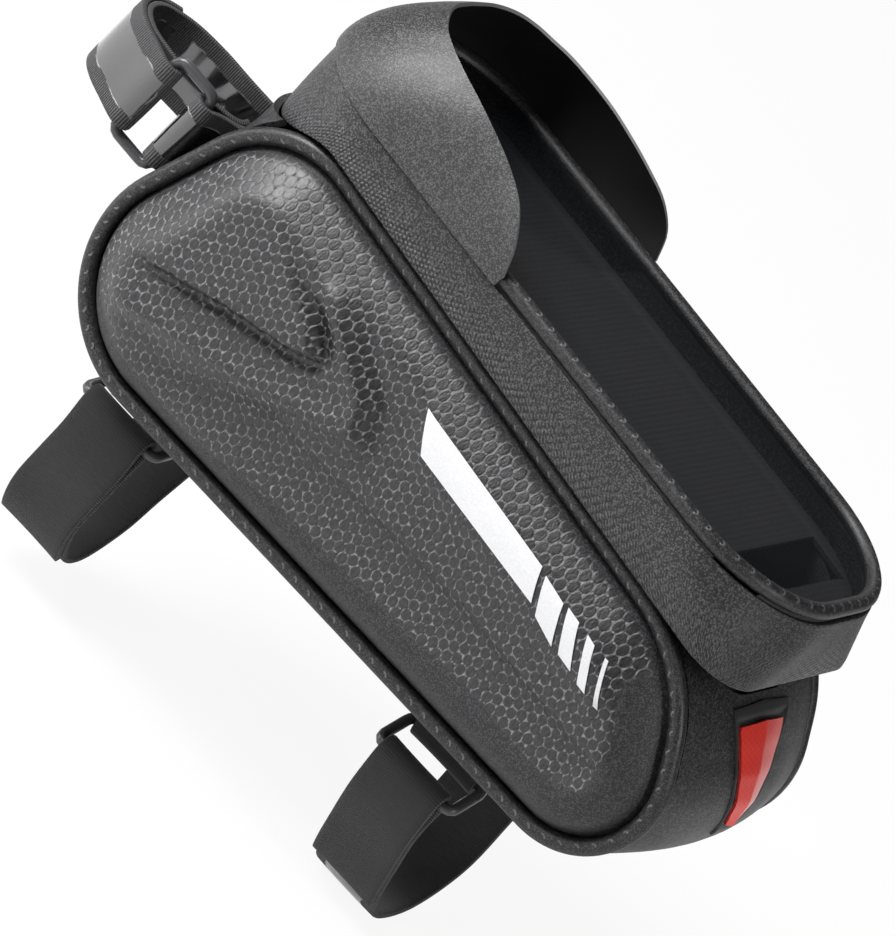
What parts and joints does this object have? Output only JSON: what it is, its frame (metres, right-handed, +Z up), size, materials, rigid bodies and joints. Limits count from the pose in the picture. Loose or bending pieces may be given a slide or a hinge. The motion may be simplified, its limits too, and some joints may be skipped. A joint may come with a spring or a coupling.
{
  "type": "bicycle phone bag",
  "caption": "Hard-sided bicycle top tube bag with a zipped lid, a clear phone window, a sun visor and ringed strap loops.",
  "frame": {"origin": "on the flat underside that lies on the top tube, in the middle of its width", "axes": "+X towards the rider, +Y to the bike's right, +Z up"},
  "size_m": [0.2741, 0.1084, 0.2068],
  "materials": {
    "black_pu_leather": "grained",
    "moulded_shell_skin": "embossed cells",
    "piping_skin": "satin",
    "clear_film": "clear",
    "black_webbing": "woven",
    "ring_plastic": "satin",
    "pocket_lining": "ribbed",
    "base_board_plastic": "plain",
    "zip_tape": "woven",
    "slider_metal": "satin",
    "badge_rubber": "matte",
    "badge_red": "gloss"
  },
  "bodies": {
    "bag": {"left_side_shell": "moulded_shell_skin", "right_side_shell": "moulded_shell_skin", "left_piping": "piping_skin", "right_piping": "piping_skin", "gusset": "black_pu_leather", "base_board": "base_board_plastic", "lower_zip_tape": "zip_tape", "rear_badge_plate": "badge_rubber", "rear_badge_insert": "badge_red", "front_tube_strap": "black_webbing", "front_tube_ring": "ring_plastic", "front_tube_ring_tab": "black_webbing", "rear_tube_strap": "black_webbing", "rear_tube_ring": "ring_plastic", "rear_tube_ring_tab": "black_webbing", "head_tube_strap": "black_webbing", "head_tube_ring": "ring_plastic", "head_tube_ring_tab": "black_webbing"},
    "lid": {"lid_band": "black_pu_leather", "lid_piping": "piping_skin", "window_film": "clear_film", "pocket_panel": "pocket_lining", "sun_visor": "black_pu_leather", "upper_zip_tape": "zip_tape"},
    "front_slider": {"front_zip_slider": "slider_metal"},
    "rear_slider": {"rear_zip_slider": "slider_metal"}
  },
  "joints": [
    {"name": "lid_hinge", "type": "hinge", "parent": "bag", "child": "lid", "pos_m": [-0.0894, 0, 0.0861], "axis": [0, -1, 0], "range_deg": [0, 90]},
    {"name": "front_zip_run", "type": "slide", "parent": "bag", "child": "front_slider", "axis": [-0.9879, 0, 0.155], "range_m": [0, 0.064]},
    {"name": "rear_zip_run", "type": "slide", "parent": "bag", "child": "rear_slider", "axis": [0.9879, 0, -0.155], "range_m": [0, 0.042]}
  ]
}
